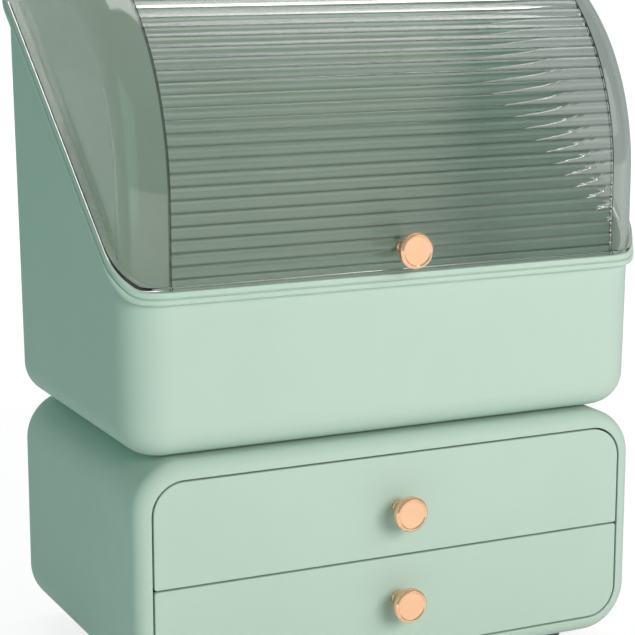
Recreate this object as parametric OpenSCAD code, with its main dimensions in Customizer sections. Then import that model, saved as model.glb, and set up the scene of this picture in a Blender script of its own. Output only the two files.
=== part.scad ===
// Dustproof vanity organizer: a lidded cosmetics case standing on a two-drawer cabinet.
// Lengths are in millimetres. The front faces -Y, and the feet stand on z = 0.

/* [Cabinet] */
// Width of the drawer cabinet
cab_w = 268; // [250:1:290]
// Depth of the drawer cabinet, front to back
cab_d = 168; // [150:1:190]
// Height of the cabinet without its feet
cab_h = 116; // [104:1:140]
// Radius of the four long corners of the cabinet
cab_corner_r = 24; // [20:0.5:30]
// Rounding of the front and back edges of the cabinet
cab_edge_r = 8; // [5:0.5:10]
// Wall of the cabinet shell
cab_wall = 3; // [2.4:0.1:3.6]
// Width of the front frame around the drawers
frame_w = 8; // [7:0.5:10]
// How far the lip of the front frame reaches into the shell
frame_lip = 5; // [3:0.5:8]
// Thickness of the shelf between the drawers
shelf_t = 2.4; // [1.6:0.1:3]
// Thickness of the ribs inside the shell
rib_t = 2.2; // [1.6:0.1:3]

/* [Drawers] */
// Gap seen around and between the drawer fronts
drawer_gap = 0.9; // [0.5:0.1:1.5]
// How far the line between the two drawer fronts lies below the middle of the opening
front_split = 1.2; // [-4:0.2:4]
// Thickness of a drawer front
front_t = 3; // [2:0.1:4]
// Height of a drawer tray
tray_h = 38; // [28:1:40]
// Room left between a drawer tray and the back of the cabinet
tray_back_gap = 10; // [6:1:30]
// Wall of a drawer tray
tray_wall = 2; // [1.5:0.1:2.6]
// Upright corner radius of a drawer tray
tray_corner_r = 15; // [14.5:0.5:18]
// Rounding between the floor and the walls of a drawer tray
tray_floor_r = 14; // [13:0.5:14.5]
// Side clearance between a tray and the opening of the cabinet
tray_side_gap = 2; // [1.5:0.1:3]
// Height of a tray's underside over the lower edge of its front
tray_lift = 1; // [0.6:0.1:2]
// Width of the strips that the trays slide on
runner_w = 6; // [4:0.5:10]
// Distance from the middle of the cabinet to a strip
runner_x = 80; // [60:1:88]
// Distance from the front frame's lip to the strips
runner_front_gap = 8; // [4:1:30]
// Distance from the strips to the back of the cabinet
runner_back_gap = 6; // [5:1:12]
// How far a drawer pulls out
drawer_travel = 130; // [80:1:140]

/* [Feet] */
// Height of the feet
foot_h = 8; // [5:0.5:12]
// Radius of a foot where it meets the cabinet
foot_top_r = 10; // [8:0.5:10]
// Radius of a foot where it meets the table
foot_low_r = 8; // [5:0.5:9]
// Radius of the peg that holds a foot
foot_peg_r = 3; // [2:0.5:4]
// Distance from the side of the cabinet to a foot's axis
foot_inset = 34; // [34:1:50]
// Distance from the front or back of the cabinet to a foot's axis
foot_setback = 26; // [20:1:40]

/* [Case] */
// Width of the case at its underside
case_w = 270.6; // [250:0.2:290]
// Depth of the case at its underside
case_d = 174.8; // [165:0.2:185]
// Height of the case front, up to the underside of the rim
case_front_h = 73; // [60:1:90]
// Upright corner radius of the case at its underside
case_corner_r = 21; // [20.5:0.5:26]
// Rounding between the underside and the walls of the case
case_floor_r = 17; // [14:0.5:20]
// Wall of the case
case_wall = 3; // [2.4:0.1:3.6]
// Outward slope of the case walls, in degrees
case_draft = 0.73; // [0.4:0.01:1]
// Rise of the cut along the sides, from the front rim to the back rim
rim_rise = 131.7; // [118:0.1:140]
// How far behind the case front the sloping cut begins
slope_start = 3.6; // [2:0.1:8]
// Bend of the cut at the front
slope_front_r = 14; // [11:0.5:20]
// Bend of the cut at the back
slope_back_r = 24; // [14:1:30]
// How far the case front stands ahead of the drawer fronts
case_ahead = 0.4; // [0:0.1:2]

/* [Rim] */
// Height of the rim
rim_h = 6; // [5:0.1:8]
// Reach of the rim's bead beyond the wall
bead_out = 3.5; // [3:0.1:5]
// Height of the bead
bead_h = 2.8; // [2:0.1:3]
// Height of the groove over the bead
groove_h = 0.6; // [0.3:0.1:1]
// Depth of the groove
groove_in = 1.3; // [0.5:0.1:1.6]
// Set-back of the rim's upper band from the bead
band_in = 0.6; // [0.2:0.1:1.2]

/* [Lid] */
// Width of the clear lid
lid_w = 270.6; // [252:0.2:290]
// Radius of the lid's curved front
lid_r = 110.1; // [90:0.1:120]
// Radius along both ends of the lid
lid_end_r = 19; // [14:0.5:22]
// Height of the lid's top over the back rim
lid_over_rim = 17.9; // [15:0.1:24]
// How far the lid's face stands ahead of the case front
lid_ahead = 1.2; // [0.5:0.1:2]
// How far the lid's rear wall stands inside the back of the case
lid_back_in = 1.2; // [0.5:0.1:2]
// Wall of the lid
lid_wall = 2.5; // [2:0.1:3]
// Radius of the lid's rear top edge
lid_back_r = 24; // [22:0.5:30]
// Thickness of the flange along the lid's lower edge
flange_t = 2; // [1.5:0.1:3]
// Set-back of the flange from the edge of the rim
flange_in = 1; // [0.5:0.1:2]
// Clearance between the lid and the rim
lid_gap = 0.3; // [0.2:0.05:0.6]
// Distance from one flute to the next, up the front and back along the top
flute_pitch = 5.9; // [5:0.01:9]
// Depth of a flute
flute_depth = 0.9; // [0.4:0.1:1.2]
// Least plain margin at both ends of the fluted stretch
flute_margin = 3; // [2:0.5:8]

/* [Lid hinge] */
// Distance from the middle of the lid to a hinge
hinge_x = 85; // [60:1:95]
// Radius of the hinge barrels
barrel_r = 4; // [3.2:0.1:4.5]
// Clearance between the barrels and the lid's rear wall
barrel_gap = 1; // [0.6:0.1:1.5]
// Radius of the hinge pins
pin_r = 1.5; // [1:0.1:2]
// Width of the barrel on the lid
knuckle_w = 16; // [10:1:24]
// Width of each barrel on the case
lug_w = 6; // [4:0.5:10]
// How far the lid swings open, in degrees
lid_swing = 110; // [90:1:112]

/* [Knobs] */
// Radius of a knob's disc
knob_r = 8.5; // [7:0.1:10]
// How far a knob stands out
knob_out = 15; // [12:0.5:20]
// Thickness of a knob's disc
knob_disc_t = 4.4; // [3.5:0.1:6]
// Radius of a knob's stem at the wall
knob_stem_r = 3.6; // [2.6:0.1:4]
// Radius of a knob's stem behind the disc
knob_neck_r = 4.8; // [3.5:0.1:6]
// Width of the raised ring on a knob's face
knob_ring_w = 1.9; // [1:0.1:2.5]
// Height of the raised ring over the face
knob_ring_h = 0.6; // [0.3:0.1:1]
// Height of the upper knob over the middle of its drawer front
upper_knob_rise = -1; // [-4:0.5:4]
// Height of the lower knob over the middle of its drawer front
lower_knob_rise = 3; // [-4:0.5:4]
// Height of the lid knob over the flange
lid_knob_rise = 9.9; // [9:0.1:14]
// Radius of the knob screws
screw_r = 1.45; // [1:0.05:1.5]
// Length of a screw inside its knob
screw_grip = 7; // [5:0.5:8]
// Radius of the screw heads
screw_head_r = 2.9; // [2.5:0.1:3.5]
// Height of the screw heads
screw_head_h = 1.8; // [1.2:0.1:2.4]

/* [Case pads] */
// Radius of the anti-slip pads under the case
pad_r = 8; // [5:0.5:10]
// Thickness of a pad
pad_t = 2; // [1.6:0.1:2.4]
// Depth of a pad's seat in the case
pad_seat = 1.2; // [0.8:0.1:1.5]
// Distance from the middle of the case to a pad
pad_x = 92; // [80:1:96]
// Distance from the middle of the case to a pad, front to back
pad_y = 48; // [40:1:52]

/* [Hidden] */
$fn = 72;

mint = [0.72, 0.83, 0.76];
pale_mint = [0.80, 0.88, 0.82];
rose_gold = [0.93, 0.68, 0.52];
clear = [0.86, 0.88, 0.88, 0.35];
steel = [0.75, 0.76, 0.78];
olive = [0.33, 0.40, 0.35];
silicone = [0.85, 0.87, 0.86];

small = 0.01;        // overlap that joins features of one piece
seat_gap = 0.1;      // clearance of a push-in joint
fit_gap = 0.05;      // radial clearance of pins, pegs and screws
hole_gap = 0.25;     // radial clearance of a screw's passage
far = 400;           // longer than the whole organizer

// Cabinet levels and openings
opening_w = cab_w - 2 * frame_w;
opening_h = cab_h - 2 * frame_w;
opening_r = cab_corner_r - frame_w;
opening_z = foot_h + frame_w;
cab_mid_z = foot_h + cab_h / 2;
cab_top_z = foot_h + cab_h;
cab_floor_z = foot_h + cab_wall;
cavity_w = cab_w - 2 * cab_wall;
cavity_end_y = cab_d - cab_wall;
front_w = opening_w - 2 * drawer_gap;
lower_front_h = (opening_h - 3 * drawer_gap) / 2 - front_split;
upper_front_h = lower_front_h + 2 * front_split;
front_r = opening_r - drawer_gap;
inner_corner_r = 1.2;
lower_front_z = opening_z + drawer_gap;
upper_front_z = lower_front_z + lower_front_h + drawer_gap;
tray_w = opening_w - 2 * tray_side_gap;
lower_tray_z = lower_front_z + tray_lift;
upper_tray_z = upper_front_z + tray_lift;
upper_runner_h = 2;
lip_end_y = cab_edge_r + frame_lip;
tray_l = cavity_end_y - tray_back_gap - front_t;
shelf_top_z = upper_tray_z - upper_runner_h;
shelf_z = shelf_top_z - shelf_t;
shelf_front_y = lip_end_y + seat_gap;
guide_gap = 1;
guide_reach = (cavity_w - tray_w) / 2 - guide_gap;
rib_l = cavity_end_y - lip_end_y - 12;
runner_y = lip_end_y + runner_front_gap;
runner_l = cavity_end_y - runner_back_gap - runner_y;

// Case levels and outline
pad_proud = pad_t - pad_seat;
case_z = cab_top_z + pad_proud;
case_front_y = -case_ahead;
case_mid_y = case_front_y + case_d / 2;
draft_m = tan(case_draft);
case_axis_x = case_w / 2 - case_corner_r;
case_axis_y = case_d / 2 - case_corner_r;
rim_z = case_z + case_front_h;
rim_top_z = rim_z + rim_h;
slope_y = case_front_y + slope_start;
slope_end_y = case_front_y + case_d - 8;
rim_back_z = rim_z + rim_rise;
side_slope = atan(rim_rise / (slope_end_y - slope_y));
rim_back_top_z = rim_back_z + rim_h;
case_back_y = case_front_y + case_d + draft_m * (rim_back_top_z - case_z);

// Lid levels
lid_face_y = case_front_y - draft_m * case_front_h - lid_ahead;
lid_axis_y = lid_face_y + lid_r;
lid_top_z = rim_back_top_z + lid_over_rim;
lid_axis_z = lid_top_z - lid_r;
lid_back_y = case_back_y - lid_back_in;
lid_back_axis_y = lid_back_y - lid_back_r;
lid_low_off = rim_h + lid_gap;
flange_top_z = rim_top_z + lid_gap + flange_t;
fluted_w = lid_w - 2 * lid_end_r;
flute_facets = 5;
flute_low_z = flange_top_z + flute_margin;
front_run = lid_axis_z - flute_low_z;
curve_run = lid_r * PI / 2;
top_run = lid_back_axis_y - flute_margin - lid_axis_y;
flute_count = floor((front_run + curve_run + top_run) / flute_pitch);

// Hinge axis
hinge_y = lid_back_y + barrel_r + barrel_gap;
hinge_z = rim_back_top_z + lid_gap + barrel_r + 0.4;
pin_l = knuckle_w + 2 * lug_w + 2 * lid_gap;

// Knob positions
lower_knob_z = lower_front_z + lower_front_h / 2 + lower_knob_rise;
upper_knob_z = upper_front_z + upper_front_h / 2 + upper_knob_rise;
lid_knob_z = flange_top_z + lid_knob_rise;
knob_seat_r = 4.5;

// The organizer stands centred on the middle of its outer box
foremost_y = lid_face_y - knob_out;
rearmost_y = hinge_y + barrel_r;
box_mid_y = (foremost_y + rearmost_y) / 2;

module centred() { translate([0, -box_mid_y, 0]) children(); }

// ---- Shared forms ----

// Block with rounded upright corners: a half profile is carried round the four corner axes.
// The profile is drawn outward from a corner axis, from low to high.
module swept_block(axis_x, axis_y, low, high) {
    rotate([90, 0, 90]) translate([0, 0, -axis_x]) linear_extrude(2 * axis_x) {
        for (side = [0, 1]) mirror([side, 0]) translate([axis_y, 0]) children();
        translate([-axis_y, low]) square([2 * axis_y, high - low]);
    }
    for (side = [0, 1]) mirror([side, 0, 0]) {
        translate([axis_x, axis_y, 0]) rotate([90, 0, 0]) linear_extrude(2 * axis_y) children();
        for (end = [0, 1]) mirror([0, end, 0]) translate([axis_x, axis_y, 0])
            rotate_extrude(angle = 90) children();
    }
}

// Half profile of an open tub: flat floor, rounded floor edge, wall that leans out by a slope.
module tub_profile(corner_r, floor_r, low, high, slope = 0) {
    lean = atan(slope);
    mid_x = corner_r + slope * floor_r - floor_r / cos(lean);
    mid_z = low + floor_r;
    polygon([[0, low], [mid_x, low], [mid_x, mid_z],
             [mid_x + floor_r * cos(lean), mid_z - floor_r * sin(lean)],
             [corner_r + slope * (high - low), high], [0, high]]);
    intersection() {
        translate([mid_x, mid_z]) circle(floor_r);
        translate([mid_x, low]) square(floor_r);
    }
}

// Half profile of a block with both ends rounded.
module pillow_profile(corner_r, edge_r, low, high) {
    translate([0, low]) square([corner_r - edge_r, high - low]);
    translate([0, low + edge_r]) square([corner_r, high - low - 2 * edge_r]);
    for (end = [low + edge_r, high - edge_r]) intersection() {
        translate([corner_r - edge_r, end]) circle(edge_r);
        translate([corner_r - edge_r, low]) square([edge_r, high - low]);
    }
}

// Outline standing on y = 0, with one radius for its upper corners and one for its lower ones.
module panel_outline(w, h, top_r, low_r) {
    translate([-w / 2, low_r]) square([w, h - top_r - low_r]);
    translate([-w / 2 + low_r, 0]) square([w - 2 * low_r, low_r]);
    translate([-w / 2 + top_r, h - top_r]) square([w - 2 * top_r, top_r]);
    for (side = [-1, 1]) {
        translate([side * (w / 2 - low_r), low_r]) circle(low_r);
        translate([side * (w / 2 - top_r), h - top_r]) circle(top_r);
    }
}

// Upright panel: the outline stands in XZ, and its thickness runs backward from y.
module panel(w, h, t, top_r, low_r, y, z) {
    translate([0, y + t, z]) rotate([90, 0, 0]) linear_extrude(t) panel_outline(w, h, top_r, low_r);
}

// Side view drawn in (y, z), carried across the whole width.
module across(width = far) {
    rotate([90, 0, 90]) translate([0, 0, -width / 2]) linear_extrude(width) children();
}

// ---- Cabinet ----

// The whole cabinet block, grown inward by inset.
module cabinet_block(inset = 0) {
    corner_r = cab_corner_r - inset;
    translate([0, 0, cab_mid_z]) rotate([-90, 0, 0])
        swept_block(cab_w / 2 - cab_corner_r, cab_h / 2 - cab_corner_r, inset, cab_d - inset)
            pillow_profile(corner_r, cab_edge_r - inset, inset, cab_d - inset);
}

module foot_places() {
    for (x = [-1, 1], y = [foot_setback, cab_d - foot_setback])
        translate([x * (cab_w / 2 - foot_inset), y, foot_h]) children();
}

// Ribs on the side walls: two guide the trays and one carries the shelf.
module shell_ribs() {
    guide_z = tray_h / 2;
    for (side = [-1, 1], z = [lower_tray_z + guide_z, shelf_z - rib_t, upper_tray_z + guide_z])
        translate([side * (cavity_w - guide_reach + cab_wall / 2) / 2,
                   cavity_end_y - rib_l / 2, z + rib_t / 2])
            cube([guide_reach + cab_wall / 2, rib_l, rib_t], center = true);
}

module cabinet_shell() {
    color(mint) centred() difference() {
        union() {
            difference() {
                cabinet_block();
                cabinet_block(cab_wall);
            }
            intersection() {
                shell_ribs();
                cabinet_block(cab_wall / 2);
            }
        }
        translate([-far / 2, -small, 0]) cube([far, cab_edge_r + small, far]);
        foot_places() cylinder(h = 3 * cab_wall, r = foot_peg_r + fit_gap, center = true);
    }
}

module cabinet_front_frame() {
    lip_t = 2.4;
    lip_w = cavity_w - 2 * seat_gap;
    lip_h = cab_h - 2 * cab_wall - 2 * seat_gap;
    lip_r = cab_corner_r - cab_wall - seat_gap;
    color(mint) centred() difference() {
        union() {
            intersection() {
                cabinet_block();
                translate([-far / 2, 0, 0]) cube([far, cab_edge_r, far]);
            }
            difference() {
                panel(lip_w, lip_h, frame_lip + 1, lip_r, lip_r, cab_edge_r - 1, cab_floor_z + seat_gap);
                panel(lip_w - 2 * lip_t, lip_h - 2 * lip_t, frame_lip + 1, lip_r - lip_t, lip_r - lip_t,
                      cab_edge_r, cab_floor_z + seat_gap + lip_t);
            }
        }
        panel(opening_w, opening_h, cab_edge_r + 1, opening_r, opening_r, -small, opening_z);
    }
}

// Shelf whose rear corners follow the rounded inside of the shell.
module middle_shelf() {
    shelf_w = cavity_w - 2 * seat_gap;
    shelf_l = cavity_end_y - seat_gap - shelf_front_y;
    rear_r = cab_edge_r - cab_wall + 1;
    color(mint) centred() translate([0, shelf_front_y, shelf_z]) linear_extrude(shelf_t)
        panel_outline(shelf_w, shelf_l, rear_r, inner_corner_r);
}

// Low strip with a rounded top that a tray slides on.
module runner(side, low, high) {
    crown = 1;
    color(pale_mint) centred() translate([side * runner_x, runner_y, low]) rotate([-90, 0, 0])
        mirror([0, 1, 0]) linear_extrude(runner_l)
            polygon([[-runner_w / 2, 0], [runner_w / 2, 0], [runner_w / 2, high - low - crown],
                     [runner_w / 2 - crown, high - low], [crown - runner_w / 2, high - low],
                     [-runner_w / 2, high - low - crown]]);
}

module lower_runner_left() { runner(-1, cab_floor_z, lower_tray_z); }
module lower_runner_right() { runner(1, cab_floor_z, lower_tray_z); }
module upper_runner_left() { runner(-1, shelf_top_z, upper_tray_z); }
module upper_runner_right() { runner(1, shelf_top_z, upper_tray_z); }

// Tapered foot with a peg that is pressed into the cabinet's floor.
module foot(side, y) {
    color(olive) centred() translate([side * (cab_w / 2 - foot_inset), y, 0]) {
        cylinder(h = foot_h, r1 = foot_low_r, r2 = foot_top_r);
        translate([0, 0, foot_h - small]) cylinder(h = cab_wall + small, r = foot_peg_r);
    }
}

module foot_front_left() { foot(-1, foot_setback); }
module foot_front_right() { foot(1, foot_setback); }
module foot_back_left() { foot(-1, cab_d - foot_setback); }
module foot_back_right() { foot(1, cab_d - foot_setback); }

// ---- Drawers ----

module tray_tub(inset, high) {
    swept_block(tray_w / 2 - tray_corner_r, tray_l / 2 - tray_corner_r, inset, high)
        tub_profile(tray_corner_r - inset, tray_floor_r - inset, inset, high);
}

module screw_passage(z) {
    translate([0, 0, z]) rotate([90, 0, 0])
        cylinder(h = 4 * tray_corner_r, r = screw_r + hole_gap, center = true);
}

module drawer_tray(z, knob_z) {
    color(pale_mint) centred() difference() {
        translate([0, front_t + tray_l / 2, z]) difference() {
            tray_tub(0, tray_h);
            tray_tub(tray_wall, tray_h + 1);
        }
        screw_passage(knob_z);
    }
}

module drawer_front(z, height, knob_z, top_r, low_r) {
    color(mint) centred() difference() {
        panel(front_w, height, front_t, top_r, low_r, 0, z);
        screw_passage(knob_z);
    }
}

// Knob: a cone-shaped stem that widens to a disc with a bevelled ring round its flat face.
module knob(y, z) {
    back = knob_out - knob_disc_t;
    bevel = 0.8;
    face = knob_out - knob_ring_h;
    color(rose_gold) centred() translate([0, y, z]) rotate([90, 0, 0]) difference() {
        rotate_extrude() polygon([
            [0, 0], [knob_stem_r, 0], [knob_stem_r, 0.8], [knob_stem_r - 0.5, 1.6],
            [knob_neck_r - 0.6, back - 1], [knob_neck_r, back], [knob_r - bevel, back + 0.4],
            [knob_r - bevel / 4, back + 0.4 + bevel / 3], [knob_r, back + 0.4 + bevel],
            [knob_r, knob_out - 1.2], [knob_r - 0.3, knob_out - 0.5], [knob_r - 0.9, knob_out],
            [knob_r - knob_ring_w + 0.5, knob_out], [knob_r - knob_ring_w, face], [0, face]]);
        translate([0, 0, -small]) cylinder(h = screw_grip + 1, r = screw_r + fit_gap);
    }
}

// Knob screw: the shank runs forward from the head's seat at y, through wall_t and into the knob.
module knob_screw(y, z, wall_t) {
    color(steel) centred() translate([0, y, z]) rotate([90, 0, 0]) difference() {
        union() {
            translate([0, 0, -screw_head_h]) cylinder(h = screw_head_h, r1 = screw_head_r - 0.5, r2 = screw_head_r);
            translate([0, 0, -small]) cylinder(h = wall_t + screw_grip, r = screw_r);
        }
        for (turn = [0, 90]) rotate(turn) translate([0, 0, -screw_head_h])
            cube([3.4, 0.7, screw_head_h], center = true);
    }
}

module lower_drawer_tray() { drawer_tray(lower_tray_z, lower_knob_z); }
module lower_drawer_front() { drawer_front(lower_front_z, lower_front_h, lower_knob_z, inner_corner_r, front_r); }
module lower_drawer_knob() { knob(0, lower_knob_z); }
module lower_drawer_knob_screw() { knob_screw(front_t + tray_wall, lower_knob_z, front_t + tray_wall); }
module upper_drawer_tray() { drawer_tray(upper_tray_z, upper_knob_z); }
module upper_drawer_front() { drawer_front(upper_front_z, upper_front_h, upper_knob_z, front_r, inner_corner_r); }
module upper_drawer_knob() { knob(0, upper_knob_z); }
module upper_drawer_knob_screw() { knob_screw(front_t + tray_wall, upper_knob_z, front_t + tray_wall); }

// ---- Case ----

// The case as a full-height tub, its surface moved outward by grow.
module case_tub(grow, high) {
    translate([0, case_mid_y, 0]) swept_block(case_axis_x, case_axis_y, case_z - grow, high)
        tub_profile(case_corner_r + grow, case_floor_r + grow, case_z - grow, high, draft_m);
}

// Side view of the sloping cut, moved by off at right angles to itself: a level front, a straight
// slope up the sides and a level back, joined by two bends.
function cut_line(off) = concat(
    [[-far, rim_z + off]],
    [for (a = [0 : side_slope / 6 : side_slope + small])
        [slope_y - slope_front_r * tan(side_slope / 2) + (slope_front_r - off) * sin(a),
         rim_z + slope_front_r - (slope_front_r - off) * cos(a)]],
    [for (a = [side_slope : -side_slope / 6 : -small])
        [slope_end_y + slope_back_r * tan(side_slope / 2) - (slope_back_r + off) * sin(a),
         rim_back_z - slope_back_r + (slope_back_r + off) * cos(a)]],
    [[far, rim_back_z + off]]);

function backward(points) = [for (i = [len(points) - 1 : -1 : 0]) points[i]];

module below_cut(off) { across() polygon(concat([[-far, -far]], cut_line(off), [[far, -far]])); }
module above_cut(off) { across() polygon(concat([[-far, far]], cut_line(off), [[far, far]])); }
module cut_band(low, high) { across() polygon(concat(cut_line(low), backward(cut_line(high)))); }

module rim_layer(grow, low, high) {
    intersection() {
        case_tub(grow, far);
        cut_band(low, high);
    }
}

// Side view of a hinge bracket: a barrel on a gusset that grows out of the case's back.
module lug_outline() {
    translate([hinge_y, hinge_z]) circle(barrel_r);
    polygon([[case_back_y - case_wall / 2, rim_back_z - 3 * barrel_r], [hinge_y + barrel_r, rim_back_z],
             [hinge_y + barrel_r, hinge_z], [hinge_y - barrel_r, hinge_z],
             [hinge_y - barrel_r, rim_back_top_z - 1], [case_back_y - case_wall / 2, rim_back_top_z - 1]]);
}

module case_lugs() {
    for (side = [-1, 1], end = [-1, 1])
        translate([side * hinge_x + end * (knuckle_w / 2 + lid_gap + lug_w / 2), 0, 0])
            across(lug_w) lug_outline();
}

module hinge_bore(r) {
    translate([0, hinge_y, hinge_z]) rotate([0, 90, 0])
        cylinder(h = 2 * (hinge_x + pin_l), r = r, center = true);
}

module cosmetics_case() {
    color(mint) centred() difference() {
        union() {
            intersection() {
                case_tub(0, far);
                below_cut(rim_h);
            }
            rim_layer(bead_out, 0, bead_h);
            rim_layer(bead_out - groove_in, bead_h - small, bead_h + groove_h + small);
            rim_layer(bead_out - band_in, bead_h + groove_h, rim_h);
            case_lugs();
        }
        case_tub(-case_wall, far);
        hinge_bore(pin_r + fit_gap / 2);
        pad_places() cylinder(h = pad_seat + small, r = pad_r + seat_gap);
    }
}

module pad_places() {
    for (x = [-pad_x, pad_x], y = [-pad_y, pad_y])
        translate([x, case_mid_y + y, case_z - small]) children();
}

module case_pads() {
    color(silicone) centred() pad_places() translate([0, 0, small - pad_proud]) cylinder(h = pad_t, r = pad_r);
}

module hinge_pin(side) {
    color(steel) centred() translate([side * hinge_x, hinge_y, hinge_z]) rotate([0, 90, 0])
        cylinder(h = pin_l, r = pin_r, center = true);
}

module hinge_pin_left() { hinge_pin(-1); }
module hinge_pin_right() { hinge_pin(1); }

// ---- Lid ----

// Cross-section of the lid, drawn out from an axis (x) and along it (y), with rounded outer corners.
module lid_section(reach, inset) {
    half_w = lid_w / 2 - inset;
    end_r = lid_end_r - inset;
    translate([0, end_r - half_w]) square([reach, 2 * (half_w - end_r)]);
    translate([0, -half_w]) square([reach - end_r, 2 * half_w]);
    for (side = [0, 1]) mirror([0, side]) translate([reach - end_r, half_w - end_r]) intersection() {
        circle(end_r);
        square(end_r);
    }
}

// The lid as a solid: its section runs up the front, round the curve, back along the top and
// round the rear edge down to the rim.
module lid_form(inset) {
    half_w = lid_w / 2 - inset;
    front_reach = lid_r - inset;
    back_reach = lid_back_r - inset;
    top_run = lid_back_axis_y - lid_axis_y;
    translate([0, lid_axis_y, 0]) {
        rotate([0, 0, -90]) linear_extrude(lid_axis_z) lid_section(front_reach, inset);
        translate([-half_w, 0, 0]) cube([2 * half_w, top_run, lid_axis_z]);
        translate([0, 0, lid_axis_z]) {
            rotate([0, -90, 0]) rotate([0, 0, -90]) rotate_extrude(angle = 90, $fn = 200)
                lid_section(front_reach, inset);
            rotate([-90, 0, 0]) rotate([0, 0, -90]) linear_extrude(top_run)
                lid_section(front_reach, inset);
        }
    }
    translate([0, lid_back_axis_y, 0]) {
        rotate([0, 0, 90]) linear_extrude(lid_top_z - lid_back_r) lid_section(back_reach, inset);
        translate([0, 0, lid_top_z - lid_back_r]) rotate([90, 0, 90])
            rotate_extrude(angle = 90) lid_section(back_reach, inset);
    }
}

// Point on the lid's side view: run is the way along it from the lowest flute, and depth is
// measured inward. The way goes up the straight front, round the curve and back along the top.
function lid_point(run, depth) =
    run < front_run ? [lid_face_y + depth, flute_low_z + run]
    : run < front_run + curve_run
    ? [lid_axis_y - (lid_r - depth) * cos((run - front_run) / curve_run * 90),
       lid_axis_z + (lid_r - depth) * sin((run - front_run) / curve_run * 90)]
    : [lid_axis_y + run - front_run - curve_run, lid_top_z - depth];

// Side view of what the flutes cut away: shallow valleys with rounded crests between them.
module flute_cutter() {
    steps = flute_count * flute_facets;
    fluted = [for (i = [0 : steps]) lid_point(i * flute_pitch / flute_facets,
        flute_depth * pow(2 * (i % flute_facets) / flute_facets - 1, 2))];
    outside = [for (i = [0 : flute_facets : steps]) lid_point(i * flute_pitch / flute_facets, -1)];
    across(fluted_w) polygon(concat(fluted, backward(outside)));
}

// Flange that lies on the rim along the front and both sides.
module lid_flange() {
    difference() {
        intersection() {
            case_tub(bead_out - flange_in, far);
            cut_band(lid_low_off, lid_low_off + flange_t);
        }
        translate([-far / 2, lid_back_axis_y, 0]) cube([far, far, far]);
    }
}

// Barrel on a web that stands out from the lid's rear wall.
module lid_knuckles() {
    root_y = lid_back_y - lid_back_r / 2;
    for (side = [-1, 1]) translate([side * hinge_x, 0, 0]) across(knuckle_w) union() {
        translate([hinge_y, hinge_z]) circle(barrel_r);
        polygon([[root_y, hinge_z - 0.8 * barrel_r], [hinge_y, hinge_z - 0.8 * barrel_r],
                 [hinge_y, hinge_z + barrel_r], [root_y, hinge_z + 1.4 * barrel_r]]);
    }
}

module lid_shell() {
    color(clear) centred() difference() {
        union() {
            difference() {
                intersection() {
                    lid_form(0);
                    above_cut(lid_low_off);
                }
                flute_cutter();
            }
            lid_flange();
            translate([0, lid_face_y + lid_wall, lid_knob_z]) rotate([90, 0, 0])
                cylinder(h = lid_wall, r = knob_seat_r);
            lid_knuckles();
        }
        lid_form(lid_wall);
        hinge_bore(pin_r + fit_gap);
        screw_passage(lid_knob_z);
    }
}

module lid_knob() { knob(lid_face_y, lid_knob_z); }
module lid_knob_screw() { knob_screw(lid_face_y + lid_wall, lid_knob_z, lid_wall); }

cabinet_shell();
cabinet_front_frame();
middle_shelf();
lower_runner_left();
lower_runner_right();
upper_runner_left();
upper_runner_right();
foot_front_left();
foot_front_right();
foot_back_left();
foot_back_right();
lower_drawer_tray();
lower_drawer_front();
lower_drawer_knob();
lower_drawer_knob_screw();
upper_drawer_tray();
upper_drawer_front();
upper_drawer_knob();
upper_drawer_knob_screw();
cosmetics_case();
case_pads();
hinge_pin_left();
hinge_pin_right();
lid_shell();
lid_knob();
lid_knob_screw();
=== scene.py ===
import math

import bmesh
import bpy
import numpy as np
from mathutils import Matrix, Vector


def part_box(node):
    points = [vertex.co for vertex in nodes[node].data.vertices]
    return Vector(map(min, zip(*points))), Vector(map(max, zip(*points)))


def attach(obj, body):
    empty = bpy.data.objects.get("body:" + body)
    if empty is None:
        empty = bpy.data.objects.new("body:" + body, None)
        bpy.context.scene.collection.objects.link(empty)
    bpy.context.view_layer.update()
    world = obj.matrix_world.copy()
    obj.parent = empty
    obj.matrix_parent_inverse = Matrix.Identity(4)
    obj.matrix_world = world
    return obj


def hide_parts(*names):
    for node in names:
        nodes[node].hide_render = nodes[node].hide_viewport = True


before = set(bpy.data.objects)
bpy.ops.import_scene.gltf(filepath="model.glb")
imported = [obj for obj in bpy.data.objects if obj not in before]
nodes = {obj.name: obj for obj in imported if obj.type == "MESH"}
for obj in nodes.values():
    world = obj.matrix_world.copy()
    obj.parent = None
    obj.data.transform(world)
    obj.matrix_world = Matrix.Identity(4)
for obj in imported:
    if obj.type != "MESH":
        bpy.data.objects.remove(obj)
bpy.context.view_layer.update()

mm = 0.001
# the plane of the drawer fronts, which is y = 0 in every length below
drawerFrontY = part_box("cabinet_front_frame")[0].y
print("frame loaded:", len(nodes), "nodes")

# camera and lamps

cameraPlace = {"location": (-0.4281, -0.8893, 0.3634), "pitchDown": 11.26, "turnRight": 25.55,
               "lens": 111.9, "sensor": 36.0}

cameraData = bpy.data.cameras.new("studio_camera")
cameraData.lens = cameraPlace["lens"]
cameraData.sensor_width = cameraPlace["sensor"]
cameraData.clip_start, cameraData.clip_end = 0.05, 20
camera = bpy.data.objects.new("studio_camera", cameraData)
camera.location = cameraPlace["location"]
camera.rotation_euler = (math.radians(90 - cameraPlace["pitchDown"]), 0,
                         -math.radians(cameraPlace["turnRight"]))
bpy.context.scene.collection.objects.link(camera)
bpy.context.scene.camera = camera
bpy.context.scene.view_settings.view_transform = "Standard"

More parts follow.
